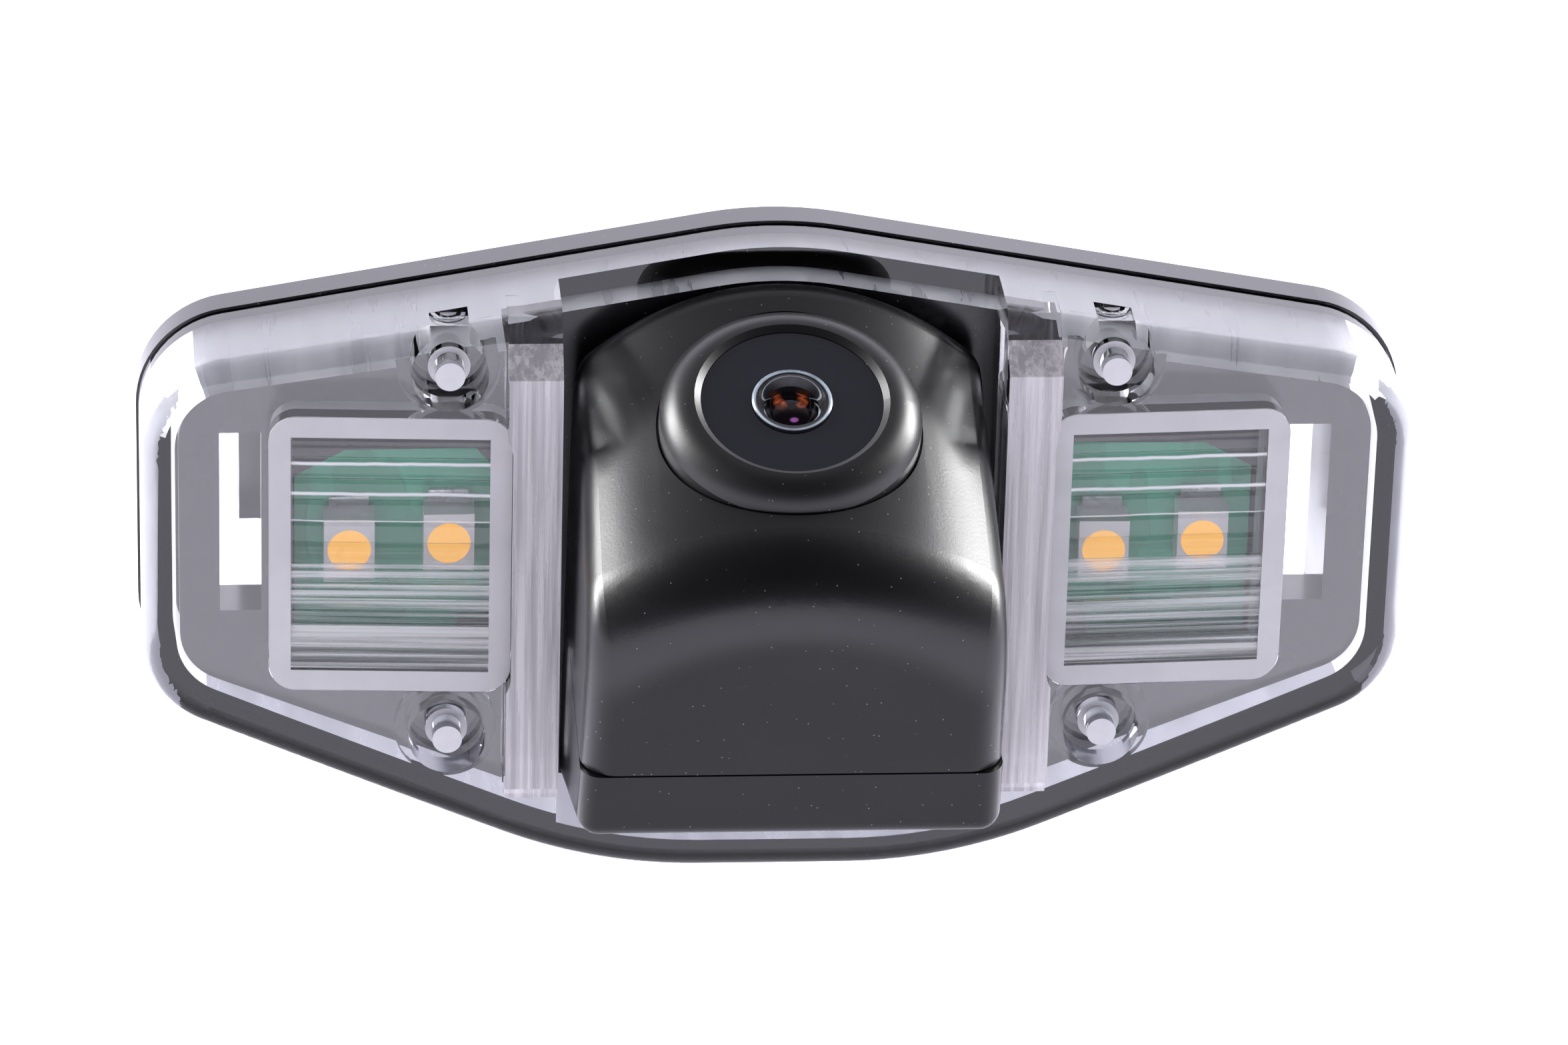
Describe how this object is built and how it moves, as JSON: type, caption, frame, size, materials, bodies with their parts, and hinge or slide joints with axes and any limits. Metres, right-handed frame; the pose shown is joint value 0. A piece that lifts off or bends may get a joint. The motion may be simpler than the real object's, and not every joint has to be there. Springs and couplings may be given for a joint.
{
  "type": "backup camera",
  "caption": "Number-plate lamp with a built-in backup camera: a hump with the eye in a central bay, a clear cover with prism windows over the lamp boards, a gasket and a snap-in tub.",
  "frame": {"origin": "centre of the gasket's sealing face, on the lamp's middle plane", "axes": "+X along the lamp, +Y into the vehicle, away from the lamp's face, +Z towards the edge that looks to the rear of the vehicle"},
  "size_m": [0.0706, 0.0498, 0.0358],
  "materials": {
    "housing_black": "satin black moulding, grey where it mirrors the light",
    "gasket_rubber": "matte black rubber",
    "clear_cover": "clear polished moulding",
    "prism_clear": "clear with level ribs and a lightly frosted frame",
    "board_green": "green solder mask",
    "package_white": "white moulding",
    "phosphor_yellow": "translucent yellow filling",
    "solder": "bright tinned metal",
    "chip_black": "matte black package",
    "capacitor_tan": "tan ceramic",
    "camera_black": "matte black, finely textured",
    "bezel_black": "satin black",
    "disc_gloss": "polished blue-black",
    "lens_ring": "anodised, with a bright edge",
    "lens_glass": "coated glass",
    "barrel_black": "matte black",
    "screw_steel": "plated steel"
  },
  "bodies": {
    "housing": {"base_housing": "housing_black", "rear_cover": "housing_black", "panel_gasket": "gasket_rubber", "cable_gland": "gasket_rubber", "bezel_seal": "gasket_rubber", "outer_lens": "clear_cover", "left_prism_lens": "prism_clear", "right_prism_lens": "prism_clear", "left_led_board": "board_green", "right_led_board": "board_green", "camera_board": "board_green", "led_bodies": "package_white", "led_phosphors": "phosphor_yellow", "led_solder_pads": "solder", "led_resistors": "chip_black", "video_processor": "chip_black", "image_sensor": "chip_black", "crystal": "solder", "board_capacitors": "capacitor_tan", "board_connector": "package_white", "camera_front_shell": "camera_black", "camera_lower_cap": "camera_black", "lens_bezel": "bezel_black", "eye_disc": "disc_gloss", "lens_retaining_ring": "lens_ring", "front_lens_element": "lens_glass", "inner_lens_elements": "lens_glass", "ir_filter": "lens_glass", "lens_barrel": "barrel_black", "lens_spacer": "barrel_black", "lens_holder": "barrel_black", "camera_board_screws": "screw_steel", "hump_screws": "screw_steel", "rear_cover_screws": "screw_steel"},
    "latch": {"latch_arm": "housing_black"}
  },
  "joints": [
    {"name": "latch_flex", "type": "hinge", "parent": "housing", "child": "latch", "pos_m": [-0.0277, 0.011, 0.002], "axis": [0, 0, 1], "range_deg": [0, 7.5], "stiffness_Nm_per_rad": 0.02}
  ]
}
